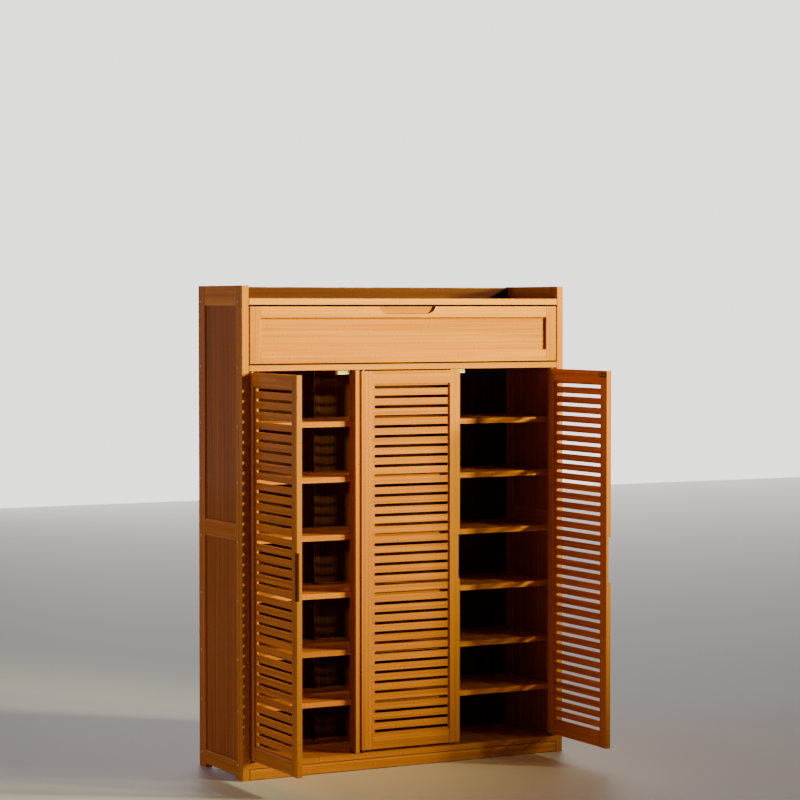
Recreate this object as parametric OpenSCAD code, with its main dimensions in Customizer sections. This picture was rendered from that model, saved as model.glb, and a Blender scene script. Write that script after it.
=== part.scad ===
// Tall bamboo shoe cabinet: two framed sides, seven shoe tiers behind three slatted doors, and a drawer.
// Frame: X to the right, Y to the back, Z up. Millimetres.
// Origin on the floor, midway across, and midway between the back and the open doors' free edges.
// The two outer doors are drawn standing open and the middle door and the drawer closed.

/* [Overall] */
// Width over the two side frames
body_w = 1040; // [1000:1:1080]
// Depth of the side frames
body_d = 300; // [290:1:330]
// Height of the side frames
body_h = 1380; // [1365:1:1395]

/* [Side frames] */
// Thickness of the side frames
side_t = 20; // [18:0.5:22]
// Width of the upright stiles
side_stile_w = 44; // [40:1:50]
// Height of the top rail
side_top_rail_h = 56; // [50:1:60]
// Height of the middle rail
side_mid_rail_h = 47.5; // [40:0.5:55]
// Height of the middle rail's centre above the floor
side_mid_rail_z = 693; // [670:1:720]
// Height of the low rail
side_low_rail_h = 41; // [36:1:50]
// Gap between the floor and the low rail
side_foot_h = 10; // [6:1:16]
// Thickness of the side panels
side_panel_t = 12; // [10:0.5:12]

/* [Boards] */
// Height of the sides above the top board
gallery_h = 36.5; // [30:0.5:45]
// Height of the gallery board at the back
gallery_board_h = 34.5; // [26:0.5:36]
// Thickness of the gallery board
gallery_board_t = 14; // [12:0.5:16]
// Thickness of the top board
top_board_t = 17; // [15:0.5:20]
// Thickness of the deck under the drawer
deck_t = 16; // [15:0.5:18]
// Thickness of the bottom board
bottom_t = 16; // [15:0.5:18]
// Radius of the front corners of the top board and the deck
corner_r = 4; // [2:0.5:6]
// Height of the bottom board's underside above the floor
bottom_z = 33; // [30:1:40]
// Thickness of the plinth board
plinth_t = 18; // [15:0.5:20]
// Gap between the plinth board and the floor
plinth_gap = 2; // [1:0.5:4]
// Side of the square corner blocks behind the plinth
block_size = 26; // [24:1:28]
// Thickness of the back boards
back_t = 8; // [6:0.5:9]

/* [Shelves and posts] */
// Thickness of the shelves
shelf_t = 15; // [14:0.5:16]
// Set-back of the shelves behind the front
shelf_setback = 26; // [25:0.5:28]
// Clear height of the first tier, under the deck
tier_1 = 146.5; // [140:0.5:150]
// Clear height of the second tier
tier_2 = 142.5; // [138:0.5:148]
// Clear height of the third tier
tier_3 = 149.5; // [144:0.5:152]
// Clear height of the fourth tier
tier_4 = 149.5; // [144:0.5:152]
// Clear height of the fifth tier
tier_5 = 149.5; // [144:0.5:152]
// Clear height of the sixth tier
tier_6 = 128.5; // [124:0.5:134]
// Width of the front and rear posts
post_w = 15; // [14:0.5:18]
// Depth of the front post
post_d = 38; // [34:1:42]
// Depth of the rear post
rear_post_d = 30; // [24:1:34]

/* [Doors] */
// Thickness of the door frames
door_t = 15; // [14.5:0.5:18]
// Width of the door stiles
door_stile_w = 33; // [31:0.5:36]
// Height of the door's top rail
door_top_rail_h = 37; // [34:0.5:42]
// Height of the door's low rail
door_low_rail_h = 41.5; // [36:0.5:48]
// Gap over the doors
door_top_gap = 4; // [3.5:0.5:6]
// Gap under the doors
door_low_gap = 8; // [6:0.5:10]
// Gap between a door's hinge edge and what it hangs beside
hinge_gap = 6; // [5.5:0.5:8]
// Gap between the left door and the front post
post_gap = 5.5; // [3:0.5:7]
// Gap where the middle and right doors meet
pair_gap = 3; // [2:0.5:4]
// Thickness of the slatted panel
slat_panel_t = 5; // [4.5:0.5:5.5]
// Set-back of the slatted panel behind the frame's outer face
slat_setback = 5.5; // [5:0.5:6]
// Number of slots in a door
slot_count = 36; // [30:1:38]
// Height of one slot
slot_h = 9; // [6:0.5:10]
// Plain border left between a slot and the hinge stile
slot_border = 10; // [6:0.5:12]
// Plain border left between a slot and the pull stile
slot_pull_border = 3; // [2:0.5:9]
// Distance of the first and last slots' centres from the rails
slot_edge = 9.25; // [8:0.25:12]
// Length of the finger notch in a pull stile
notch_len = 130; // [110:1:150]
// Width of the finger notch
notch_w = 13; // [10:0.5:16]
// Depth of the finger notch
notch_d = 7; // [5:0.5:8]
// Angle the left door stands open at rest
left_rest = 91; // [0:1:110]
// Angle the middle door stands open at rest
middle_rest = 0; // [0:1:110]
// Angle the right door stands open at rest
right_rest = 90; // [0:1:110]

/* [Pivots, catches and screws] */
// Distance of a pivot pin's centre from the door's hinge edge
pin_inset = 7.5; // [7.5:0.5:9]
// Diameter of the pivot pins
pin_dia = 6; // [5:0.5:7]
// Diameter of the pivot bushes
bush_dia = 10; // [9:0.5:11]
// Diameter of the bush flanges
flange_dia = 13; // [12:0.5:14]
// Radial clearance between a pin and its bush
pin_clear = 0.05; // [0.03:0.01:0.08]
// Width of the single magnetic catch
catch_w = 38; // [34:1:42]
// Width of the double magnetic catch
twin_catch_w = 47; // [42:1:60]
// Height of the magnetic catches
catch_h = 13; // [12:0.5:15]
// Depth of the magnetic catches
catch_d = 16; // [14:1:18]
// Length of the strike plates
strike_w = 32; // [28:1:34]
// Height of the strike plates
strike_h = 11; // [10:0.5:12]
// Thickness of the strike plates
strike_t = 1.2; // [1:0.1:1.2]
// Diameter of the side screws' heads
screw_head_dia = 8; // [7:0.5:9]
// Diameter of the side screws' shanks
screw_dia = 4; // [3.5:0.5:5]

/* [Drawer] */
// Height of the drawer front
front_h = 160.5; // [150:0.5:162]
// Gap over the drawer front
front_top_gap = 4.5; // [3:0.5:6]
// Gap at each end of the drawer front
front_end_gap = 4; // [3:0.5:5]
// Thickness of the drawer front
front_t = 20; // [18:0.5:22]
// Width of the drawer front's frame members
front_member_w = 33; // [30:1:36]
// Set-back of the drawer front's panel
front_recess = 9; // [8:0.5:9]
// Thickness of the drawer front's panel
front_panel_t = 8; // [7:0.5:8]
// Width of the finger scoop's flat floor
scoop_w = 130; // [110:1:150]
// Height of the finger scoop
scoop_h = 20.5; // [16:0.5:22]
// Radius of the finger scoop's ends
scoop_r = 26; // [24:1:30]
// Depth of the finger scoop
scoop_d = 9; // [7:0.5:9]
// Thickness of the drawer sides and back
drawer_t = 12; // [10:0.5:12]
// Length of the drawer sides
drawer_len = 245; // [220:1:250]
// Height of the drawer sides
drawer_side_h = 118; // [100:1:125]
// Thickness of the drawer bottom
drawer_bottom_t = 6; // [5:0.5:6]
// Length of the steel runners
runner_len = 240; // [210:1:242]
// Height of the outer runners
runner_h = 32; // [28:1:36]

/* [Hidden] */

bamboo = [0.78, 0.52, 0.28];
slat_bamboo = [0.70, 0.44, 0.22];
steel = [0.70, 0.70, 0.72];
white_plastic = [0.93, 0.93, 0.90];

round_fn = 48;
slot_fn = 20;
screw_fn = 14;
over = 1;

// Outer planes and inner width
half_w = body_w / 2;
inner_x = half_w - side_t;
door_w = (2 * inner_x - post_w - 3 * hinge_gap - post_gap - pair_gap) / 3;
door_reach = door_w - pin_inset - door_t / 2;
front_y = (door_reach - body_d) / 2;
back_y = front_y + body_d;
board_back_y = back_y - back_t;

// Heights of the boards
top_top_z = body_h - gallery_h;
top_low_z = top_top_z - top_board_t;
front_top_z = top_low_z - front_top_gap;
front_low_z = front_top_z - front_h;
front_low_gap = 3.5;
deck_top_z = front_low_z - front_low_gap;
deck_z = deck_top_z - deck_t;
bottom_top_z = bottom_z + bottom_t;
tiers = [tier_1, tier_2, tier_3, tier_4, tier_5, tier_6];

// Joinery of framed parts
tongue = 8;
panel_play = 0.5;
side_face = (side_t - side_panel_t) / 2;

// Doors
door_low_z = bottom_top_z + door_low_gap;
door_top_z = deck_z - door_top_gap;
post_x = -inner_x + hinge_gap + door_w + post_gap;
left_hinge_x = -inner_x + hinge_gap;
middle_hinge_x = post_x + post_w + hinge_gap;
pivot_y = front_y + door_t / 2;
slat_low_z = door_low_z + door_low_rail_h;
slat_top_z = door_top_z - door_top_rail_h;
slot_pitch = (slat_top_z - slat_low_z - 2 * slot_edge) / (slot_count - 1);
notch_z = (door_low_z + door_top_z) / 2;
strike_edge = 6;
strike_drop = 6.5;

// Pivot pins and bushes
pin_grip = 25;
pin_seat = 10;
pin_end_play = 0.5;
low_flange_h = door_low_gap - 0.4;
top_flange_h = 2.5;

// Screws through the side frames
screw_y = [front_y + 32, back_y - 16];
screw_bite = 18;
screw_head_h = 2.5;
screw_sink = 1.7;
screw_play = 0.1;

// Strike plates' screws
strike_screw_dia = 3;
strike_screw_len = 11;
strike_head_dia = 6;
strike_head_rise = 0.3;
strike_head_h = 1;

// Drawer
front_half = inner_x - front_end_gap;
drawer_half = inner_x - 13;
drawer_y = front_y + front_t;
drawer_z = front_low_z + 10.5;
drawer_groove = 5;
drawer_bottom_z = drawer_z + 4;
runner_z = drawer_z + drawer_side_h / 2;
runner_skin = 1.6;
runner_play = 0.5;
runner_y = drawer_y + 4;

function sum_to(list, n) = n < 0 ? 0 : list[n] + sum_to(list, n - 1);
function shelf_z(k) = deck_z - sum_to(tiers, k - 1) - k * shelf_t;
shelf_mids = [for (k = [1:6]) shelf_z(k) + shelf_t / 2];
board_mids = [top_low_z + top_board_t / 2, deck_z + deck_t / 2, bottom_z + bottom_t / 2];
block_mid = (plinth_gap + bottom_z) / 2;
front_screw_z = concat(board_mids, shelf_mids, [block_mid]);
back_screw_z = concat(board_mids, shelf_mids);

module block(lo, hi) {
    translate(lo)
        cube(hi - lo);
}

module to_right() {
    mirror([1, 0, 0])
        children();
}

// ---- Side frames, drawn for the left side ----

module screw_bores(y, heights) {
    for (z = heights)
        translate([-half_w, y, z])
            rotate([0, 90, 0]) {
                translate([0, 0, -over])
                    cylinder(d = screw_dia + 2 * screw_play, h = side_t + 2 * over, $fn = screw_fn);
                translate([0, 0, -over])
                    cylinder(d = screw_head_dia + 2 * screw_play, h = screw_sink + over, $fn = screw_fn);
            }
}

module side_stile(y_low, groove_y, bore_y, heights) {
    difference() {
        block([-half_w, y_low, 0], [-inner_x, y_low + side_stile_w, body_h]);
        block([-half_w + side_face, groove_y, side_foot_h],
              [-inner_x - side_face, groove_y + tongue, body_h + over]);
        screw_bores(bore_y, heights);
    }
}

module front_stile_shape() {
    side_stile(front_y, front_y + side_stile_w - tongue, screw_y[0], front_screw_z);
}

module back_stile_shape() {
    side_stile(back_y - side_stile_w, back_y - side_stile_w, screw_y[1], back_screw_z);
}

module side_rail(z_low, z_top, groove_low, groove_top) {
    y_low = front_y + side_stile_w;
    y_top = back_y - side_stile_w;
    x_low = -half_w + side_face;
    x_top = -inner_x - side_face;
    difference() {
        union() {
            block([-half_w, y_low, z_low], [-inner_x, y_top, z_top]);
            block([x_low, y_low - tongue, z_low], [x_top, y_top + tongue, z_top]);
        }
        if (groove_low)
            block([x_low, y_low - tongue - over, z_low - over],
                  [x_top, y_top + tongue + over, z_low + tongue]);
        if (groove_top)
            block([x_low, y_low - tongue - over, z_top - tongue],
                  [x_top, y_top + tongue + over, z_top + over]);
    }
}

module top_rail_shape() {
    side_rail(body_h - side_top_rail_h, body_h, true, false);
}

module mid_rail_shape() {
    side_rail(side_mid_rail_z - side_mid_rail_h / 2, side_mid_rail_z + side_mid_rail_h / 2, true, true);
}

module low_rail_shape() {
    side_rail(side_foot_h, side_foot_h + side_low_rail_h, false, true);
}

module side_panel(z_low, z_top) {
    grow = tongue - panel_play;
    block([-half_w + side_face, front_y + side_stile_w - grow, z_low - grow],
          [-inner_x - side_face, back_y - side_stile_w + grow, z_top + grow]);
}

module panels_shape() {
    side_panel(side_foot_h + side_low_rail_h, side_mid_rail_z - side_mid_rail_h / 2);
    side_panel(side_mid_rail_z + side_mid_rail_h / 2, body_h - side_top_rail_h);
}

module left_front_stile() {
    color(bamboo)
        front_stile_shape();
}

module left_back_stile() {
    color(bamboo)
        back_stile_shape();
}

module left_top_rail() {
    color(bamboo)
        top_rail_shape();
}

module left_mid_rail() {
    color(bamboo)
        mid_rail_shape();
}

module left_low_rail() {
    color(bamboo)
        low_rail_shape();
}

module left_panels() {
    color(bamboo)
        panels_shape();
}

module right_front_stile() {
    color(bamboo)
        to_right()
            front_stile_shape();
}

module right_back_stile() {
    color(bamboo)
        to_right()
            back_stile_shape();
}

module right_top_rail() {
    color(bamboo)
        to_right()
            top_rail_shape();
}

module right_mid_rail() {
    color(bamboo)
        to_right()
            mid_rail_shape();
}

module right_low_rail() {
    color(bamboo)
        to_right()
            low_rail_shape();
}

module right_panels() {
    color(bamboo)
        to_right()
            panels_shape();
}

module side_screws() {
    color(steel)
        for (hand = [0, 1])
            mirror([hand, 0, 0])
                for (column = [0, 1])
                    for (z = column == 0 ? front_screw_z : back_screw_z)
                        translate([-half_w + screw_sink - screw_head_h, screw_y[column], z])
                            rotate([0, 90, 0]) {
                                cylinder(d = screw_head_dia, h = screw_head_h, $fn = screw_fn);
                                cylinder(d = screw_dia, h = side_t + screw_bite, $fn = screw_fn);
                            }
}

// ---- Boards between the sides ----

module end_bores(z, columns) {
    for (hand = [0, 1])
        mirror([hand, 0, 0])
            for (column = columns)
                translate([-inner_x - over, screw_y[column], z])
                    rotate([0, 90, 0])
                        cylinder(d = screw_dia + 2 * screw_play, h = screw_bite + 2 * over, $fn = screw_fn);
}

module board(y_low, y_top, z_low, z_top) {
    difference() {
        block([-inner_x, y_low, z_low], [inner_x, y_top, z_top]);
        end_bores((z_low + z_top) / 2, [0, 1]);
    }
}

// Cuts the two front corners of a board that runs from side to side round
module corner_cuts(z_low, z_top) {
    for (hand = [0, 1])
        mirror([hand, 0, 0])
            difference() {
                block([-inner_x - over, front_y - over, z_low - over],
                      [-inner_x + corner_r, front_y + corner_r, z_top + over]);
                translate([-inner_x + corner_r, front_y + corner_r, z_low - 2 * over])
                    cylinder(r = corner_r, h = z_top - z_low + 4 * over, $fn = round_fn);
            }
}

module top_board() {
    color(bamboo)
        difference() {
            board(front_y, back_y, top_low_z, top_top_z);
            corner_cuts(top_low_z, top_top_z);
        }
}

module gallery_board() {
    color(bamboo)
        block([-inner_x, back_y - gallery_board_t, top_top_z], [inner_x, back_y, top_top_z + gallery_board_h]);
}

// Places its children once over each door's pivot, as [x, y]
module at_pivots() {
    for (x = [left_hinge_x + pin_inset, middle_hinge_x + pin_inset, -left_hinge_x - pin_inset])
        translate([x, pivot_y, 0])
            children();
}

module drawer_deck() {
    color(bamboo)
        difference() {
            board(front_y, board_back_y, deck_z, deck_top_z);
            corner_cuts(deck_z, deck_top_z);
            at_pivots()
                translate([0, 0, deck_z - over])
                    cylinder(d = bush_dia, h = pin_seat + over, $fn = round_fn);
        }
}

module bottom_board() {
    color(bamboo)
        difference() {
            board(front_y, board_back_y, bottom_z, bottom_top_z);
            at_pivots()
                translate([0, 0, bottom_top_z - pin_seat])
                    cylinder(d = bush_dia, h = pin_seat + over, $fn = round_fn);
        }
}

module plinth() {
    color(bamboo)
        block([-inner_x, front_y, plinth_gap], [inner_x, front_y + plinth_t, bottom_z]);
}

module plinth_blocks() {
    color(bamboo)
        for (hand = [0, 1])
            mirror([hand, 0, 0])
                difference() {
                    block([-inner_x, front_y + plinth_t, plinth_gap],
                          [-inner_x + block_size, front_y + plinth_t + block_size, bottom_z]);
                    end_bores(block_mid, [0]);
                }
}

module front_post() {
    color(bamboo)
        block([post_x, front_y, bottom_top_z], [post_x + post_w, front_y + post_d, deck_z]);
}

module rear_post() {
    color(bamboo)
        block([post_x, board_back_y - rear_post_d, bottom_top_z], [post_x + post_w, board_back_y, deck_z]);
}

module shelf(k) {
    z = shelf_z(k);
    color(bamboo)
        difference() {
            board(front_y + shelf_setback, board_back_y, z, z + shelf_t);
            block([post_x, front_y, z - over], [post_x + post_w, front_y + post_d, z + shelf_t + over]);
            block([post_x, board_back_y - rear_post_d, z - over],
                  [post_x + post_w, back_y, z + shelf_t + over]);
        }
}

module shelf_1() {
    shelf(1);
}

module shelf_2() {
    shelf(2);
}

module shelf_3() {
    shelf(3);
}

module shelf_4() {
    shelf(4);
}

module shelf_5() {
    shelf(5);
}

module shelf_6() {
    shelf(6);
}

module back_boards() {
    board_w = 2 * inner_x / 3;
    seam = 0.4;
    color(bamboo)
        for (k = [0:2])
            block([-inner_x + k * board_w + seam / 2, board_back_y, bottom_z],
                  [-inner_x + (k + 1) * board_w - seam / 2, back_y, top_low_z]);
}

module catches() {
    catch_y = front_y + door_t + strike_t + 0.4;
    lip = 2;
    strike_mid = strike_edge + strike_w / 2;
    pair_x = middle_hinge_x + door_w + pair_gap / 2;
    color(white_plastic)
        for (spot = [[left_hinge_x + door_w - strike_mid, catch_w], [pair_x, twin_catch_w]])
            difference() {
                block([spot[0] - spot[1] / 2, catch_y, deck_z - catch_h],
                      [spot[0] + spot[1] / 2, catch_y + catch_d, deck_z]);
                block([spot[0] - spot[1] / 2 + 3 * lip, catch_y - over, deck_z - catch_h + 2 * lip],
                      [spot[0] + spot[1] / 2 - 3 * lip, catch_y + lip, deck_z - 2 * lip]);
            }
}

module bush(flange_low, flange_top, z_low, z_top) {
    difference() {
        union() {
            translate([0, 0, z_low])
                cylinder(d = bush_dia, h = z_top - z_low, $fn = round_fn);
            translate([0, 0, flange_low])
                cylinder(d = flange_dia, h = flange_top - flange_low, $fn = round_fn);
        }
        translate([0, 0, z_low - over])
            cylinder(r = pin_dia / 2 + pin_clear, h = z_top - z_low + 2 * over, $fn = round_fn);
    }
}

module pivot_bushes() {
    color(white_plastic)
        at_pivots() {
            bush(bottom_top_z, bottom_top_z + low_flange_h,
                 bottom_top_z - pin_seat, bottom_top_z + low_flange_h);
            bush(deck_z - top_flange_h, deck_z, deck_z - top_flange_h, deck_z + pin_seat);
        }
}

// ---- Doors, drawn in the left door's closed place with the hinge edge at x = 0 ----

module hung(hinge_x, angle) {
    translate([hinge_x + pin_inset, pivot_y, 0])
        rotate([0, 0, -angle])
            translate([-pin_inset, -door_t / 2, 0])
                children();
}

module left_hung() {
    hung(left_hinge_x, left_rest)
        children();
}

module middle_hung() {
    hung(middle_hinge_x, middle_rest)
        children();
}

module right_hung() {
    to_right()
        hung(left_hinge_x, right_rest)
            children();
}

module pin_bore(z_low, z_top) {
    translate([pin_inset, door_t / 2, z_low])
        cylinder(d = pin_dia, h = z_top - z_low, $fn = round_fn);
}

// The two screws of a strike plate, or their bores when grown by some play
module strike_screws(play) {
    face = door_t + strike_t;
    for (side = [-1, 1])
        translate([door_w - strike_edge - strike_w / 2 + side * strike_w / 4, face + strike_head_rise,
                   door_top_z - strike_drop - strike_h / 2])
            rotate([90, 0, 0]) {
                cylinder(d = strike_head_dia + 2 * play, h = strike_head_h, $fn = screw_fn);
                cylinder(d = strike_screw_dia + 2 * play, h = strike_screw_len, $fn = screw_fn);
            }
}

module hinge_stile_shape() {
    difference() {
        block([0, 0, door_low_z], [door_stile_w, door_t, door_top_z]);
        block([door_stile_w - tongue, slat_setback, door_low_z - over],
              [door_stile_w + over, slat_setback + slat_panel_t, door_top_z + over]);
        pin_bore(door_low_z - over, door_low_z + pin_grip);
        pin_bore(door_top_z - pin_grip, door_top_z + over);
    }
}

module pull_stile_shape() {
    difference() {
        block([door_w - door_stile_w, 0, door_low_z], [door_w, door_t, door_top_z]);
        block([door_w - door_stile_w - over, slat_setback, door_low_z - over],
              [door_w - door_stile_w + tongue, slat_setback + slat_panel_t, door_top_z + over]);
        block([door_w - notch_w, -over, notch_z - notch_len / 2],
              [door_w + over, notch_d, notch_z + notch_len / 2]);
        strike_screws(screw_play);
    }
}

module door_rail_shape(z_low, z_top, groove_z) {
    difference() {
        union() {
            block([door_stile_w, 0, z_low], [door_w - door_stile_w, door_t, z_top]);
            block([door_stile_w - tongue, slat_setback, z_low],
                  [door_w - door_stile_w + tongue, slat_setback + slat_panel_t, z_top]);
        }
        block([door_stile_w - tongue - over, slat_setback, groove_z],
              [door_w - door_stile_w + tongue + over, slat_setback + slat_panel_t, groove_z + tongue + over]);
    }
}

module door_top_rail_shape() {
    difference() {
        door_rail_shape(slat_top_z, door_top_z, slat_top_z - over);
        strike_screws(screw_play);
    }
}

module door_low_rail_shape() {
    door_rail_shape(door_low_z, slat_low_z, slat_low_z - tongue);
}

module slot(z) {
    x_low = door_stile_w + slot_border + slot_h / 2;
    x_top = door_w - door_stile_w - slot_pull_border - slot_h / 2;
    block([x_low, 0, z - slot_h / 2], [x_top, door_t, z + slot_h / 2]);
    for (x = [x_low, x_top])
        translate([x, 0, z])
            rotate([-90, 0, 0])
                cylinder(d = slot_h, h = door_t, $fn = slot_fn);
}

module slats_shape() {
    grow = tongue - panel_play;
    difference() {
        block([door_stile_w - grow, slat_setback, slat_low_z - grow],
              [door_w - door_stile_w + grow, slat_setback + slat_panel_t, slat_top_z + grow]);
        for (k = [0:slot_count - 1])
            slot(slat_low_z + slot_edge + k * slot_pitch);
    }
}

module pins_shape() {
    pin_bore(bottom_top_z - pin_seat + pin_end_play, door_low_z + pin_grip);
    pin_bore(door_top_z - pin_grip, deck_z + pin_seat - pin_end_play);
}

module strike_shape() {
    x_low = door_w - strike_edge - strike_w;
    z_top = door_top_z - strike_drop;
    difference() {
        block([x_low, door_t, z_top - strike_h], [x_low + strike_w, door_t + strike_t, z_top]);
        strike_screws(screw_play);
    }
    strike_screws(0);
}

module left_hinge_stile() {
    color(bamboo)
        left_hung()
            hinge_stile_shape();
}

module left_pull_stile() {
    color(bamboo)
        left_hung()
            pull_stile_shape();
}

module left_door_top_rail() {
    color(bamboo)
        left_hung()
            door_top_rail_shape();
}

module left_door_low_rail() {
    color(bamboo)
        left_hung()
            door_low_rail_shape();
}

module left_slats() {
    color(slat_bamboo)
        left_hung()
            slats_shape();
}

module left_pins() {
    color(steel)
        left_hung()
            pins_shape();
}

module left_strike() {
    color(steel)
        left_hung()
            strike_shape();
}

module middle_hinge_stile() {
    color(bamboo)
        middle_hung()
            hinge_stile_shape();
}

module middle_pull_stile() {
    color(bamboo)
        middle_hung()
            pull_stile_shape();
}

module middle_door_top_rail() {
    color(bamboo)
        middle_hung()
            door_top_rail_shape();
}

module middle_door_low_rail() {
    color(bamboo)
        middle_hung()
            door_low_rail_shape();
}

module middle_slats() {
    color(slat_bamboo)
        middle_hung()
            slats_shape();
}

module middle_pins() {
    color(steel)
        middle_hung()
            pins_shape();
}

module middle_strike() {
    color(steel)
        middle_hung()
            strike_shape();
}

module right_hinge_stile() {
    color(bamboo)
        right_hung()
            hinge_stile_shape();
}

module right_pull_stile() {
    color(bamboo)
        right_hung()
            pull_stile_shape();
}

module right_door_top_rail() {
    color(bamboo)
        right_hung()
            door_top_rail_shape();
}

module right_door_low_rail() {
    color(bamboo)
        right_hung()
            door_low_rail_shape();
}

module right_slats() {
    color(slat_bamboo)
        right_hung()
            slats_shape();
}

module right_pins() {
    color(steel)
        right_hung()
            pins_shape();
}

module right_strike() {
    color(steel)
        right_hung()
            strike_shape();
}

// ---- Drawer ----

panel_y = front_y + front_recess;
member_x = front_half - front_member_w;

module drawer_rail_shape(z_low, z_top, groove_z) {
    difference() {
        union() {
            block([-member_x, front_y, z_low], [member_x, drawer_y, z_top]);
            block([-member_x - tongue, panel_y, z_low], [member_x + tongue, panel_y + front_panel_t, z_top]);
        }
        block([-front_half, panel_y, groove_z], [front_half, panel_y + front_panel_t, groove_z + tongue + over]);
    }
}

module drawer_top_rail() {
    z_low = front_top_z - front_member_w;
    floor_z = front_top_z - scoop_h;
    color(bamboo)
        difference() {
            drawer_rail_shape(z_low, front_top_z, z_low - over);
            block([-scoop_w / 2, front_y - over, floor_z], [scoop_w / 2, front_y + scoop_d, front_top_z + over]);
            for (side = [-1, 1])
                translate([side * scoop_w / 2, front_y - over, floor_z + scoop_r])
                    rotate([-90, 0, 0])
                        cylinder(r = scoop_r, h = scoop_d + over, $fn = 2 * round_fn);
        }
}

module drawer_low_rail() {
    z_top = front_low_z + front_member_w;
    color(bamboo)
        difference() {
            drawer_rail_shape(front_low_z, z_top, z_top - tongue);
            block([-drawer_half, drawer_y - drawer_groove, drawer_bottom_z],
                  [drawer_half, drawer_y + over, drawer_bottom_z + drawer_bottom_t]);
        }
}

module drawer_stiles() {
    color(bamboo)
        for (hand = [0, 1])
            mirror([hand, 0, 0])
                difference() {
                    block([member_x, front_y, front_low_z], [front_half, drawer_y, front_top_z]);
                    block([member_x - over, panel_y, front_low_z - over],
                          [member_x + tongue, panel_y + front_panel_t, front_top_z + over]);
                    block([member_x - over, drawer_y - drawer_groove, drawer_bottom_z],
                          [drawer_half - drawer_t + drawer_groove, drawer_y + over,
                           drawer_bottom_z + drawer_bottom_t]);
                }
}

module drawer_panel() {
    grow = tongue - panel_play;
    color(bamboo)
        block([-member_x - grow, panel_y, front_low_z + front_member_w - grow],
              [member_x + grow, panel_y + front_panel_t, front_top_z - front_member_w + grow]);
}

module drawer_sides() {
    color(bamboo)
        for (hand = [0, 1])
            mirror([hand, 0, 0])
                difference() {
                    block([drawer_half - drawer_t, drawer_y, drawer_z],
                          [drawer_half, drawer_y + drawer_len, drawer_z + drawer_side_h]);
                    block([drawer_half - drawer_t - over, drawer_y - over, drawer_bottom_z],
                          [drawer_half - drawer_t + drawer_groove, drawer_y + drawer_len + over,
                           drawer_bottom_z + drawer_bottom_t]);
                }
}

module drawer_back() {
    x = drawer_half - drawer_t;
    color(bamboo)
        block([-x, drawer_y + drawer_len - drawer_t, drawer_bottom_z + drawer_bottom_t],
              [x, drawer_y + drawer_len, drawer_z + drawer_side_h - 5]);
}

module drawer_bottom() {
    x = drawer_half - drawer_t + drawer_groove - panel_play;
    color(bamboo)
        block([-x, drawer_y - drawer_groove + panel_play, drawer_bottom_z],
              [x, drawer_y + drawer_len, drawer_bottom_z + drawer_bottom_t]);
}

module channel(x_web, x_lip, half_h) {
    x_low = min(x_web, x_lip);
    x_top = max(x_web, x_lip);
    away = x_lip > x_web ? 1 : -1;
    difference() {
        block([x_low, runner_y, runner_z - half_h], [x_top, runner_y + runner_len, runner_z + half_h]);
        block([x_low + away * runner_skin, runner_y - over, runner_z - half_h + runner_skin],
              [x_top + away * runner_skin, runner_y + runner_len + over, runner_z + half_h - runner_skin]);
    }
}

module outer_runners() {
    color(steel)
        for (hand = [0, 1])
            mirror([hand, 0, 0])
                channel(inner_x, drawer_half + 2.5, runner_h / 2);
}

module inner_runners() {
    color(steel)
        for (hand = [0, 1])
            mirror([hand, 0, 0])
                channel(drawer_half, inner_x - runner_skin - runner_play, runner_h / 2 - runner_skin - runner_play);
}

left_front_stile();
left_back_stile();
left_top_rail();
left_mid_rail();
left_low_rail();
left_panels();
right_front_stile();
right_back_stile();
right_top_rail();
right_mid_rail();
right_low_rail();
right_panels();
top_board();
gallery_board();
drawer_deck();
bottom_board();
plinth();
plinth_blocks();
front_post();
rear_post();
shelf_1();
shelf_2();
shelf_3();
shelf_4();
shelf_5();
shelf_6();
back_boards();
catches();
pivot_bushes();
side_screws();
outer_runners();
drawer_top_rail();
drawer_low_rail();
drawer_stiles();
drawer_panel();
drawer_sides();
drawer_back();
drawer_bottom();
inner_runners();
left_hinge_stile();
left_pull_stile();
left_door_top_rail();
left_door_low_rail();
left_slats();
left_pins();
left_strike();
middle_hinge_stile();
middle_pull_stile();
middle_door_top_rail();
middle_door_low_rail();
middle_slats();
middle_pins();
middle_strike();
right_hinge_stile();
right_pull_stile();
right_door_top_rail();
right_door_low_rail();
right_slats();
right_pins();
right_strike();
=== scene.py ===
import math

import bpy
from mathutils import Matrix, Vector

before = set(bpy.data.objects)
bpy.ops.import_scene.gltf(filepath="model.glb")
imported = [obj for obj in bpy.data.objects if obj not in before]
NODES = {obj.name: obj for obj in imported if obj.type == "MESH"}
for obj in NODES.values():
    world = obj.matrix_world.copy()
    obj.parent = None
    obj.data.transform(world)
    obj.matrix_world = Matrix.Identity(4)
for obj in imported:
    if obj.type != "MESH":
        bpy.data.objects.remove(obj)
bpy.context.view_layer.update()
AXES = {"X": 0, "Y": 1, "Z": 2}


# ---- small helpers for shader trees ----

def new_tree(name):
    mat = bpy.data.materials.new(name)
    mat.use_nodes = True
    mat.node_tree.nodes.clear()
    return mat, mat.node_tree


def surface(tree, shader, socket="BSDF"):
    out = tree.nodes.new("ShaderNodeOutputMaterial")
    tree.links.new(shader.outputs[socket], out.inputs["Surface"])


def add_bump(tree, bsdf, height, strength, distance):
    bump = tree.nodes.new("ShaderNodeBump")
    bump.inputs["Strength"].default_value = strength
    bump.inputs["Distance"].default_value = distance
    tree.links.new(height, bump.inputs["Height"])
    tree.links.new(bump.outputs["Normal"], bsdf.inputs["Normal"])


def set_or_link(tree, socket, value):
    """A number or a colour is set on the socket; anything else is an output to link."""
    if isinstance(value, (int, float)):
        socket.default_value = value
    elif isinstance(value, tuple):
        socket.default_value = (*value, 1.0)
    else:
        tree.links.new(value, socket)


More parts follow.
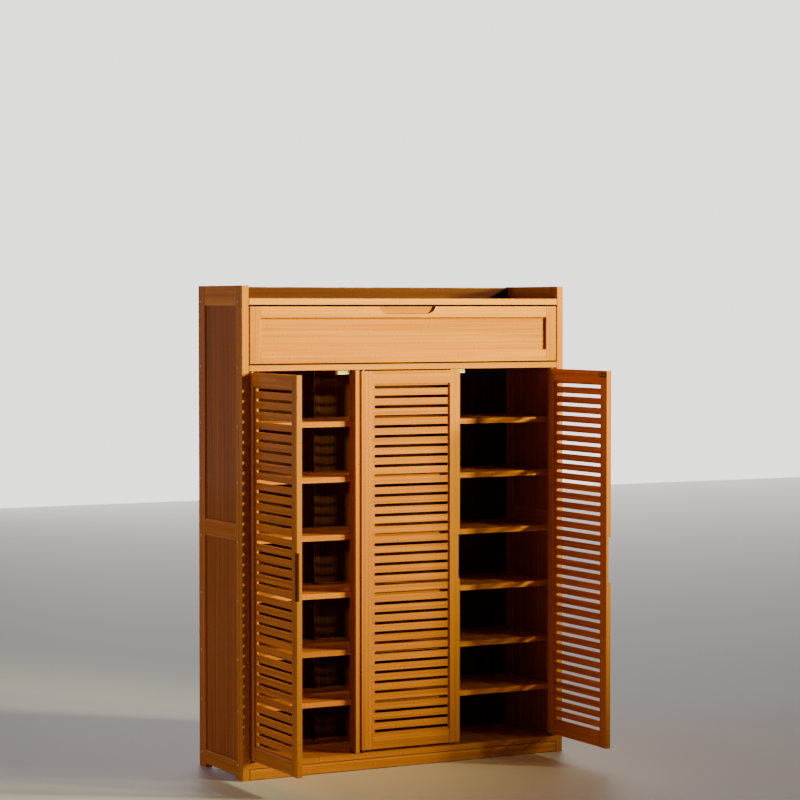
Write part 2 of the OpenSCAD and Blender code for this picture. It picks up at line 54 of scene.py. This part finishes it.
def math_node(tree, op, a, b=None, c=None, clamp=False):
    node = tree.nodes.new("ShaderNodeMath")
    node.operation = op
    node.use_clamp = clamp
    for socket, value in zip(node.inputs, (a, b, c)):
        if value is not None:
            set_or_link(tree, socket, value)
    return node.outputs[0]


def combine(tree, x, y, z):
    node = tree.nodes.new("ShaderNodeCombineXYZ")
    for socket, value in zip(node.inputs, (x, y, z)):
        set_or_link(tree, socket, value)
    return node.outputs[0]


def noise(tree, vector, scale, detail=2.0, roughness=0.5):
    node = tree.nodes.new("ShaderNodeTexNoise")
    node.inputs["Scale"].default_value = scale
    node.inputs["Detail"].default_value = detail
    node.inputs["Roughness"].default_value = roughness
    tree.links.new(vector, node.inputs["Vector"])
    return node.outputs["Fac"]


def ramp(tree, fac, low, high, to_low=0.0, to_high=1.0):
    """A smooth step from low to high."""
    node = tree.nodes.new("ShaderNodeMapRange")
    node.interpolation_type = "SMOOTHSTEP"
    tree.links.new(fac, node.inputs["Value"])
    limits = {"From Min": low, "From Max": high, "To Min": to_low, "To Max": to_high}
    for name, value in limits.items():
        node.inputs[name].default_value = value
    return node.outputs["Result"]


def mix_color(tree, fac, a, b):
    node = tree.nodes.new("ShaderNodeMix")
    node.data_type = "RGBA"
    for socket, value in ((node.inputs[0], fac), (node.inputs[6], a), (node.inputs[7], b)):
        set_or_link(tree, socket, value)
    return node.outputs[2]


# ---- bamboo ----

# metres: a strip's width, a ply's thickness and offset, knuckle spacing, a strip's wander
STRIP = 0.0062
PLY = 0.019
PLY_OFFSET = 0.0031
KNUCKLE = 0.27
WANDER = 0.0022
# how much each feature darkens the wood, from the light tone at 0 to the dark one at 1
BASE_TONE = 0.42
STRIP_TONE = 0.36
FIBRE_TONE = 0.75
STREAK_TONE = 1.10
DRIFT_TONE = 0.75
KNUCKLE_TONE = 0.42
HALO_TONE = -0.10
GLUE_TONE = 0.16
RUBBED = (0.90, 0.36, 0.05)


def bamboo_group():
    """Edge-pressed bamboo: x along the grain, y across the strips, z through the plies."""
    tree = bpy.data.node_groups.new("bamboo", "ShaderNodeTree")
    face = tree.interface
    face.new_socket("Vector", in_out="INPUT", socket_type="NodeSocketVector")
    for name, value in (("Seed", 0.0), ("Wear", 0.0), ("Gloss", 0.0)):
        face.new_socket(name, in_out="INPUT", socket_type="NodeSocketFloat").default_value = value
    for name in ("Light", "Dark"):
        face.new_socket(name, in_out="INPUT", socket_type="NodeSocketColor")
    face.new_socket("Color", in_out="OUTPUT", socket_type="NodeSocketColor")
    for name in ("Roughness", "Coat Roughness", "Height"):
        face.new_socket(name, in_out="OUTPUT", socket_type="NodeSocketFloat")
    gin = tree.nodes.new("NodeGroupInput").outputs
    out = tree.nodes.new("NodeGroupOutput").inputs
    split = tree.nodes.new("ShaderNodeSeparateXYZ")
    tree.links.new(gin["Vector"], split.inputs[0])
    g, s, t = split.outputs
    seed = gin["Seed"]

    # the strips wander by a fraction of their width along the grain
    drift_at = combine(
        tree, math_node(tree, "MULTIPLY", g, 1.6), math_node(tree, "MULTIPLY", s, 6.0), seed)
    drift = math_node(tree, "SUBTRACT", noise(tree, drift_at, 1.0, 1.0), 0.5)
    drift = math_node(tree, "MULTIPLY", drift, WANDER)
    rows = math_node(tree, "DIVIDE", math_node(tree, "ADD", s, drift), STRIP)
    row = math_node(tree, "FLOOR", rows)
    in_row = math_node(tree, "FRACT", rows)
    depth = math_node(tree, "ADD", t, PLY_OFFSET)
    ply = math_node(tree, "FLOOR", math_node(tree, "DIVIDE", depth, PLY))
    cell = combine(tree, row, ply, seed)
    white = tree.nodes.new("ShaderNodeTexWhiteNoise")
    white.noise_dimensions = "3D"
    tree.links.new(cell, white.inputs["Vector"])
    pick = tree.nodes.new("ShaderNodeSeparateColor")
    tree.links.new(white.outputs["Color"], pick.inputs[0])
    r1, r2, r3 = pick.outputs

    # fibres and slow drifts of tone
    fine_at = combine(
        tree, math_node(tree, "ADD", math_node(tree, "MULTIPLY", g, 7.0),
                        math_node(tree, "MULTIPLY", r1, 31.0)),
        math_node(tree, "MULTIPLY", s, 900.0), math_node(tree, "MULTIPLY", t, 900.0))
    fine = noise(tree, fine_at, 1.0, 3.0, 0.62)
    mid_at = combine(
        tree, math_node(tree, "ADD", math_node(tree, "MULTIPLY", g, 2.2),
                        math_node(tree, "MULTIPLY", seed, 3.7)),
        math_node(tree, "MULTIPLY", s, 150.0), math_node(tree, "MULTIPLY", t, 150.0))
    mid = noise(tree, mid_at, 1.0, 3.0, 0.55)
    slow_at = combine(
        tree, math_node(tree, "MULTIPLY", g, 1.1), math_node(tree, "MULTIPLY", s, 11.0),
        math_node(tree, "ADD", math_node(tree, "MULTIPLY", t, 11.0), seed))
    slow = noise(tree, slow_at, 1.0, 2.0)

    # knuckles: a thin dark line with a pale halo, at its own place in each strip
    shift = math_node(tree, "ADD", r2, math_node(tree, "MULTIPLY", seed, 0.37))
    along = math_node(
        tree, "FRACT", math_node(tree, "ADD", math_node(tree, "DIVIDE", g, KNUCKLE), shift))
    off = math_node(tree, "ABSOLUTE", math_node(tree, "SUBTRACT", along, 0.5))
    line = ramp(tree, off, 0.0035, 0.0085, 1.0, 0.0)
    halo = ramp(tree, off, 0.010, 0.045, 1.0, 0.0)

    seam = math_node(tree, "MINIMUM", in_row, math_node(tree, "SUBTRACT", 1.0, in_row))
    seam = ramp(tree, seam, 0.0, 0.07, 1.0, 0.0)

    tone = math_node(tree, "MULTIPLY", math_node(tree, "SUBTRACT", r3, 0.5), STRIP_TONE)
    for field, weight in ((fine, FIBRE_TONE), (mid, STREAK_TONE), (slow, DRIFT_TONE)):
        tone = math_node(
            tree, "MULTIPLY_ADD", math_node(tree, "SUBTRACT", field, 0.5), weight, tone)
    for field, weight in ((line, KNUCKLE_TONE), (halo, HALO_TONE), (seam, GLUE_TONE)):
        tone = math_node(tree, "MULTIPLY_ADD", field, weight, tone)
    tone = math_node(tree, "ADD", tone, BASE_TONE, clamp=True)
    color = mix_color(tree, tone, gin["Light"], gin["Dark"])

    # worn arrises: the stain is rubbed thin in patches
    rub_at = combine(
        tree, math_node(tree, "MULTIPLY", g, 14.0), math_node(tree, "MULTIPLY", s, 60.0),
        math_node(tree, "ADD", math_node(tree, "MULTIPLY", t, 60.0), seed))
    rub = ramp(tree, noise(tree, rub_at, 1.0, 3.0, 0.6), 0.38, 0.72)
    rub = math_node(tree, "MULTIPLY", rub, gin["Wear"])
    color = mix_color(tree, rub, color, RUBBED)

    # handling: soft patches of duller and glossier lacquer
    hand_at = combine(
        tree, math_node(tree, "MULTIPLY", g, 5.0), math_node(tree, "MULTIPLY", s, 7.0),
        math_node(tree, "MULTIPLY_ADD", t, 7.0, seed))
    hand = noise(tree, hand_at, 1.0, 3.0, 0.6)
    rough = math_node(tree, "MULTIPLY_ADD", fine, 0.16, 0.40)
    rough = math_node(tree, "MULTIPLY_ADD", hand, 0.12, rough)
    rough = math_node(tree, "SUBTRACT", rough, gin["Gloss"], clamp=True)
    coat = math_node(tree, "MULTIPLY_ADD", hand, 0.10, 0.04)
    height = math_node(tree, "MULTIPLY_ADD", seam, -0.6, fine)
    height = math_node(tree, "MULTIPLY_ADD", line, 0.5, height)
    height = math_node(tree, "MULTIPLY_ADD", mid, 0.6, height)
    results = {"Color": color, "Roughness": rough, "Coat Roughness": coat, "Height": height}
    for name, value in results.items():
        tree.links.new(value, out[name])
    return tree


BAMBOO = bamboo_group()
# (light, dark) tones of the wood by where a piece sits; the darkest copies are painted shade
FRONT = ((0.76, 0.282, 0.028), (0.42, 0.115, 0.012))
SLAT = ((0.73, 0.252, 0.024), (0.38, 0.100, 0.010))
SHELF = ((0.72, 0.250, 0.032), (0.37, 0.100, 0.013))
SIDE = ((0.60, 0.200, 0.026), (0.32, 0.082, 0.010))
PANEL = ((0.54, 0.160, 0.022), (0.25, 0.062, 0.009))
# painted shade in the finger scoop: a darker, redder copy of the front wood
POCKET_SHADE = ((0.48, 0.165, 0.014), (0.29, 0.080, 0.007))
# painted shade: the inside of the cabinet and the gallery board get these dark copies of the wood
INNER_SHADE = ((0.105, 0.030, 0.010), (0.045, 0.012, 0.005))
DEEP_SHADE = ((0.085, 0.021, 0.009), (0.040, 0.010, 0.005))
# the colour of the painted shade in the gaps where arrises close on a neighbour
SEAM_SHADE = (0.035, 0.011, 0.004)
FACE_COAT, ARRIS_COAT = 0.12, 0.8
ARRIS_WEAR, ARRIS_GLOSS = 0.55, 0.08
# how strongly the front post's left face is darkened as painted shade
POST_SHADE = 0.55
PIECE_SHADE = 0.10


def facing(tree, source, ways):
    """1 where the surface turns towards one of the given directions, 0 elsewhere."""
    total = None
    for way in ways:
        dot = tree.nodes.new("ShaderNodeVectorMath")
        dot.operation = "DOT_PRODUCT"
        tree.links.new(source, dot.inputs[0])
        dot.inputs[1].default_value = way
        part = ramp(tree, dot.outputs["Value"], 0.18, 0.34)
        total = part if total is None else math_node(tree, "MAXIMUM", total, part)
    return total


def bamboo(name, grain, across, seed, tones, coat=FACE_COAT, wear=0.0, gloss=0.0, shade_ways=(),
           shade_amount=1.0):
    """The bamboo material of one piece, its grain and strips along the given axes at rest."""
    mat, tree = new_tree(name)
    through = next(a for a in "XYZ" if a not in (grain, across))
    place = tree.nodes.new("ShaderNodeTexCoord")
    split = tree.nodes.new("ShaderNodeSeparateXYZ")
    tree.links.new(place.outputs["Object"], split.inputs[0])
    vector = combine(tree, *(split.outputs[AXES[a]] for a in (grain, across, through)))
    group = tree.nodes.new("ShaderNodeGroup")
    group.node_tree = BAMBOO
    tree.links.new(vector, group.inputs["Vector"])
    shade = 1.0 + PIECE_SHADE * math.sin(seed * 12.9898)
    group.inputs["Seed"].default_value = seed
    group.inputs["Wear"].default_value = wear
    group.inputs["Gloss"].default_value = gloss
    for socket, tone in zip(("Light", "Dark"), tones):
        group.inputs[socket].default_value = (*(c * shade for c in tone), 1.0)
    bsdf = tree.nodes.new("ShaderNodeBsdfPrincipled")
    color = group.outputs["Color"]
    bsdf.inputs["Coat Weight"].default_value = coat
    if shade_ways:
        # arrises that close on a neighbouring piece get painted shade and no coat
        seam_shade = math_node(tree, "MULTIPLY", facing(tree, place.outputs["Normal"], shade_ways), shade_amount)
        color = mix_color(tree, seam_shade, color, SEAM_SHADE)
        polish = math_node(tree, "MULTIPLY", math_node(tree, "SUBTRACT", 1.0, seam_shade), coat)
        tree.links.new(polish, bsdf.inputs["Coat Weight"])
    tree.links.new(color, bsdf.inputs["Base Color"])
    tree.links.new(group.outputs["Roughness"], bsdf.inputs["Roughness"])
    tree.links.new(group.outputs["Coat Roughness"], bsdf.inputs["Coat Roughness"])
    add_bump(tree, bsdf, group.outputs["Height"], 0.22, 0.0003)
    bsdf.inputs["Coat IOR"].default_value = 1.5
    bsdf.inputs["Specular IOR Level"].default_value = 0.04
    surface(tree, bsdf)
    return mat


# ---- metal and plastic ----

BRUSH_ALONG, BRUSH_ACROSS = 40.0, 900.0


def metal(name, color, dark, rough, grain):
    mat, tree = new_tree(name)
    place = tree.nodes.new("ShaderNodeTexCoord")
    split = tree.nodes.new("ShaderNodeSeparateXYZ")
    tree.links.new(place.outputs["Object"], split.inputs[0])
    axes = [math_node(tree, "MULTIPLY", split.outputs[k],
                      BRUSH_ALONG if axis == grain else BRUSH_ACROSS)
            for k, axis in enumerate("XYZ")]
    brush = noise(tree, combine(tree, *axes), 1.0, 2.0)
    spots = noise(tree, place.outputs["Object"], 220.0, 3.0, 0.6)
    fac = math_node(
        tree, "MULTIPLY_ADD", spots, 0.5, math_node(tree, "MULTIPLY", brush, 0.5), clamp=True)
    bsdf = tree.nodes.new("ShaderNodeBsdfPrincipled")
    tree.links.new(mix_color(tree, fac, dark, color), bsdf.inputs["Base Color"])
    dull = math_node(tree, "MULTIPLY_ADD", brush, 0.25, rough, clamp=True)
    tree.links.new(dull, bsdf.inputs["Roughness"])
    bsdf.inputs["Metallic"].default_value = 1.0
    add_bump(tree, bsdf, brush, 0.2, 0.0001)
    surface(tree, bsdf)
    return mat


def plastic(name, color, dull):
    mat, tree = new_tree(name)
    place = tree.nodes.new("ShaderNodeTexCoord")
    grain = noise(tree, place.outputs["Object"], 1400.0, 2.0)
    cloud = noise(tree, place.outputs["Object"], 60.0, 3.0, 0.6)
    bsdf = tree.nodes.new("ShaderNodeBsdfPrincipled")
    worn = ramp(tree, cloud, 0.35, 0.75)
    tree.links.new(mix_color(tree, worn, color, dull), bsdf.inputs["Base Color"])
    tree.links.new(math_node(tree, "MULTIPLY_ADD", cloud, 0.2, 0.28), bsdf.inputs["Roughness"])
    bsdf.inputs["Subsurface Weight"].default_value = 0.08
    add_bump(tree, bsdf, grain, 0.15, 0.0001)
    surface(tree, bsdf)
    return mat


STEEL = metal("zinc_steel", (0.62, 0.62, 0.64), (0.36, 0.36, 0.38), 0.24, "Y")
SCREW = metal("screw_steel", (0.74, 0.60, 0.40), (0.42, 0.33, 0.20), 0.42, "X")
DARK_STEEL = metal("dark_steel", (0.045, 0.036, 0.032), (0.018, 0.014, 0.012), 0.38, "Z")
BRIGHT = metal("bright_screw", (0.95, 0.93, 0.90), (0.80, 0.78, 0.75), 0.12, "Z")
WHITE = plastic("white_plastic", (0.86, 0.86, 0.82), (0.74, 0.73, 0.68))
# dark brown for the pivot bushes: painted shade where the bushes sit at the hinges
BUSH_SHADE = plastic("brown_nylon", (0.060, 0.026, 0.012), (0.040, 0.018, 0.009))


# ---- which way each piece's grain runs at rest ----

# (grain axis, axis across the strips, tones) of the pieces that stand alone
LONE_GRAIN = {
    "top_board": ("X", "Y", FRONT), "drawer_deck": ("X", "Y", FRONT),
    "bottom_board": ("X", "Y", FRONT), "drawer_bottom": ("X", "Y", INNER_SHADE),
    "gallery_board": ("X", "Z", DEEP_SHADE), "plinth": ("X", "Z", FRONT),
    "drawer_top_rail": ("X", "Z", FRONT), "drawer_low_rail": ("X", "Z", FRONT),
    "drawer_panel": ("X", "Z", FRONT), "drawer_back": ("X", "Z", INNER_SHADE),
    "front_post": ("Z", "X", FRONT), "drawer_stiles": ("Z", "X", FRONT),
    "rear_post": ("Z", "X", INNER_SHADE), "back_boards": ("Z", "X", INNER_SHADE),
    "plinth_blocks": ("Z", "X", INNER_SHADE), "drawer_sides": ("Y", "Z", INNER_SHADE),
}
# the same for the parts of the two side frames
SIDE_GRAIN = {
    "front_stile": ("Z", "Y", FRONT), "back_stile": ("Z", "Y", SIDE),
    "top_rail": ("Y", "Z", FRONT), "mid_rail": ("Y", "Z", SIDE), "low_rail": ("Y", "Z", FRONT),
    "panels": ("Z", "Y", PANEL),
}


def grain_of(name):
    """(grain axis, axis across the strips, tones) of a bamboo node, or None."""
    if name.startswith("shelf_"):
        return "X", "Y", SHELF
    if not name.startswith(("left_", "right_", "middle_")):
        return LONE_GRAIN.get(name)
    side, part = name.split("_", 1)
    # the middle door stands closed at rest and the other two stand open
    run = "X" if side == "middle" else "Y"
    if part in ("hinge_stile", "pull_stile"):
        return "Z", run, FRONT
    if part in ("door_top_rail", "door_low_rail"):
        return run, "Z", FRONT
    if part == "slats":
        return run, "Z", SLAT
    return SIDE_GRAIN.get(part)


LEFT, RIGHT, UP, DOWN = (-1, 0, 0), (1, 0, 0), (0, 0, 1), (0, 0, -1)
FRONTWARD, BACKWARD = (0, -1, 0), (0, 1, 0)
# the directions in which a piece's arrises close on a neighbour; these arrises get painted shade
SHADED_SEAMS = {
    "plinth": (UP, LEFT, RIGHT), "bottom_board": (DOWN, LEFT, RIGHT), "top_board": (LEFT, RIGHT),
    "drawer_deck": (LEFT, RIGHT), "gallery_board": (DOWN, LEFT, RIGHT),
    "left_front_stile": (RIGHT,), "left_back_stile": (RIGHT,),
    "right_front_stile": (LEFT,), "right_back_stile": (LEFT,),
    "front_post": (LEFT, RIGHT, UP, DOWN),
    "middle_hinge_stile": (LEFT,), "middle_pull_stile": (LEFT,),
    "middle_door_top_rail": (RIGHT,), "middle_door_low_rail": (RIGHT,),
    "left_pull_stile": (BACKWARD,), "right_pull_stile": (BACKWARD,),
    "left_door_top_rail": (FRONTWARD,), "left_door_low_rail": (FRONTWARD,),
    "right_door_top_rail": (FRONTWARD,), "right_door_low_rail": (FRONTWARD,),
    "left_hinge_stile": (BACKWARD,), "right_hinge_stile": (BACKWARD,),
    "drawer_top_rail": (UP, DOWN), "drawer_low_rail": (DOWN,), "drawer_stiles": (UP, DOWN),
}


SAME_POINT = 0.00001
FLAT_DEGREES = 0.5
ARRIS_DEGREES = 35


def soften(node, width, segments=2, arris=-1):
    """Joins the imported faces back into clean plates and rounds their arrises."""
    weld = node.modifiers.new("weld", "WELD")
    weld.merge_threshold = SAME_POINT
    flat = node.modifiers.new("flat", "DECIMATE")
    flat.decimate_type = "DISSOLVE"
    flat.angle_limit = math.radians(FLAT_DEGREES)
    bevel = node.modifiers.new("arris", "BEVEL")
    bevel.width = width
    bevel.segments = segments
    bevel.limit_method = "ANGLE"
    bevel.angle_limit = math.radians(ARRIS_DEGREES)
    bevel.harden_normals = False
    bevel.material = arris
    for polygon in node.data.polygons:
        polygon.use_smooth = True
    smooth = node.modifiers.new("shading", "WEIGHTED_NORMAL")
    smooth.keep_sharp = False
    smooth.weight = 60


# the way each strike plate faces at rest; the left door stands a degree past square
STRIKE_FACES = {
    "left_strike": (1, -0.01745, 0), "middle_strike": BACKWARD, "right_strike": LEFT,
}
HEAD_SLACK = 0.0001


def light_screw_heads(node, away):
    """Gives the raised screw heads of a strike plate the bright metal; the plate stays dark."""
    heights = [polygon.center.dot(Vector(away)) for polygon in node.data.polygons]
    for polygon, height in zip(node.data.polygons, heights):
        polygon.material_index = int(max(heights) - height < HEAD_SLACK)


SCOOP_HALF = 0.092
SCOOP_DEPTH = 0.0215
FACE_SLACK = 0.001


def shade_scoop(node):
    """Gives the walls of the finger scoop a darker, redder copy of the wood as painted shade."""
    face = min(v.co.y for v in node.data.vertices)
    back = max(v.co.y for v in node.data.vertices)
    floor_z = max(v.co.z for v in node.data.vertices) - SCOOP_DEPTH
    for polygon in node.data.polygons:
        x, y, z = polygon.center
        if abs(x) < SCOOP_HALF and face + FACE_SLACK < y < (face + back) / 2 and z > floor_z:
            polygon.material_index = 2


def light_back(node):
    """Gives the faces that look out behind the cabinet a lighter copy of the wood, free of the
    painted shade on the inner faces.
    """
    for polygon in node.data.polygons:
        if polygon.normal.y > 0.9:
            polygon.material_index = 2


# how far each piece's arrises are rounded, in metres
WIDTHS = {
    "top_board": 0.0028, "plinth": 0.0026, "bottom_board": 0.0026, "drawer_deck": 0.0024,
    "drawer_top_rail": 0.001, "drawer_low_rail": 0.001, "drawer_stiles": 0.001,
    "drawer_panel": 0.0006, "back_boards": 0.0006,
}
SLAT_WIDTH = 0.0008
PANEL_WIDTH = 0.0006
INNER_WIDTH = 0.0012
OUTER_WIDTH = 0.002
FINE_WIDTH = 0.001


def arris_width(name, tones):
    if name.endswith("_slats"):
        return SLAT_WIDTH
    if name.endswith("_panels"):
        return PANEL_WIDTH
    return WIDTHS.get(name, INNER_WIDTH if tones is INNER_SHADE else OUTER_WIDTH)


def dress_bamboo(name, node, seed, way):
    """Slot 0 is the faces, slot 1 the arrises and slot 2, where there is one, a special face."""
    grain, across, tones = way
    # the front post's left face gets painted shade
    shaded = (LEFT,) if name == "front_post" else ()
    slots = node.data.materials
    slots.append(bamboo(f"{name}_face", grain, across, seed, tones, shade_ways=shaded, shade_amount=POST_SHADE))
    slots.append(bamboo(f"{name}_arris", grain, across, seed, tones, ARRIS_COAT, ARRIS_WEAR,
                        ARRIS_GLOSS, SHADED_SEAMS.get(name, ())))
    # the walls of the finger scoop get painted shade
    if name == "drawer_top_rail":
        slots.append(bamboo("scoop", grain, across, seed, POCKET_SHADE))
        shade_scoop(node)
    if name in ("back_boards", "gallery_board"):
        slots.append(bamboo(f"{name}_back", grain, across, seed, PANEL))
        light_back(node)
    width = arris_width(name, tones)
    soften(node, width, 3 if width > FINE_WIDTH else 2, arris=1)


for index, (name, node) in enumerate(sorted(NODES.items())):
    node.data.materials.clear()
    way = grain_of(name)
    if way:
        dress_bamboo(name, node, 1.0 + 0.731 * index, way)
    elif name.endswith("_strike"):
        node.data.materials.append(DARK_STEEL)
        node.data.materials.append(BRIGHT)
        light_screw_heads(node, STRIKE_FACES[name])
        soften(node, 0.00025)
    else:
        material, width = {
            "catches": (WHITE, 0.0006), "pivot_bushes": (BUSH_SHADE, 0.0003),
            "side_screws": (SCREW, 0.0005),
        }.get(name, (STEEL, 0.0003))
        node.data.materials.append(material)
        soften(node, width)


# ---- floor, light and camera ----

FLOOR_SIDE = 60


def floor():
    bpy.ops.mesh.primitive_plane_add(size=1.0, location=(0, 0, 0))
    plane = bpy.context.object
    plane.name = "floor"
    plane.scale = (FLOOR_SIDE, FLOOR_SIDE, 1)
    mat, tree = new_tree("floor")
    bsdf = tree.nodes.new("ShaderNodeBsdfPrincipled")
    bsdf.inputs["Base Color"].default_value = (0.80, 0.79, 0.77, 1)
    bsdf.inputs["Roughness"].default_value = 0.55
    surface(tree, bsdf)
    plane.data.materials.append(mat)


def area(name, place, target, size, power, color, spread=180):
    """A square lamp at place that looks at target."""
    data = bpy.data.lights.new(name, "AREA")
    data.energy = power
    data.color = color
    data.shape = "SQUARE"
    data.size = size
    data.spread = math.radians(spread)
    lamp = bpy.data.objects.new(name, data)
    bpy.context.scene.collection.objects.link(lamp)
    lamp.location = place
    lamp.rotation_euler = (Vector(target) - Vector(place)).to_track_quat("-Z", "Y").to_euler()


def backdrop():
    """A pale studio wall far behind the cabinet, lit by itself."""
    bpy.ops.mesh.primitive_plane_add(
        size=1.0, location=(6.0, 9.5, 3.4), rotation=(math.radians(90), 0, 0))
    wall = bpy.context.object
    wall.name = "backdrop"
    wall.scale = (9, 7, 1)
    mat, tree = new_tree("backdrop")
    glow = tree.nodes.new("ShaderNodeEmission")
    glow.inputs["Color"].default_value = (1.0, 0.99, 0.97, 1)
    glow.inputs["Strength"].default_value = 2.2
    surface(tree, glow, "Emission")
    wall.data.materials.append(mat)


floor()
backdrop()
# key and top come from the right of the front, fill from the left, rim from behind on the left
area("key", (4.3, -5.3, 1.95), (-0.28, 0.0, 1.79), 0.40, 39, (1.0, 1.00, 0.14), spread=32)
area("top", (3.7, -3.0, 2.9), (-0.18, 0.0, 1.64), 0.5, 35, (1.0, 0.90, 0.50), spread=41)
area("fill", (-4.3, 0.7, 1.3), (-0.4, 0.0, 0.8), 2.0, 31, (1.0, 0.76, 0.95))
area("rim", (-6.4, 9.0, 2.2), (-0.5, 0.0, 0.8), 5.0, 60, (1.0, 0.90, 0.88))

world = bpy.data.worlds.new("studio")
world.use_nodes = True
sky = world.node_tree.nodes["Background"]
sky.inputs["Color"].default_value = (1.0, 0.94, 0.88, 1)
sky.inputs["Strength"].default_value = 0.05
bpy.context.scene.world = world

CAMERA_TILT = 2.122
CAMERA_TURN = 28.068
camera_data = bpy.data.cameras.new("camera")
camera_data.sensor_width = 36.0
camera_data.lens = 115.31
camera_data.clip_end = 60.0
camera = bpy.data.objects.new("camera", camera_data)
camera.location = (-3.4679, -6.4539, 1.3253)
camera.rotation_euler = (math.radians(90 - CAMERA_TILT), 0.0, math.radians(-CAMERA_TURN))
bpy.context.scene.collection.objects.link(camera)
bpy.context.scene.camera = camera
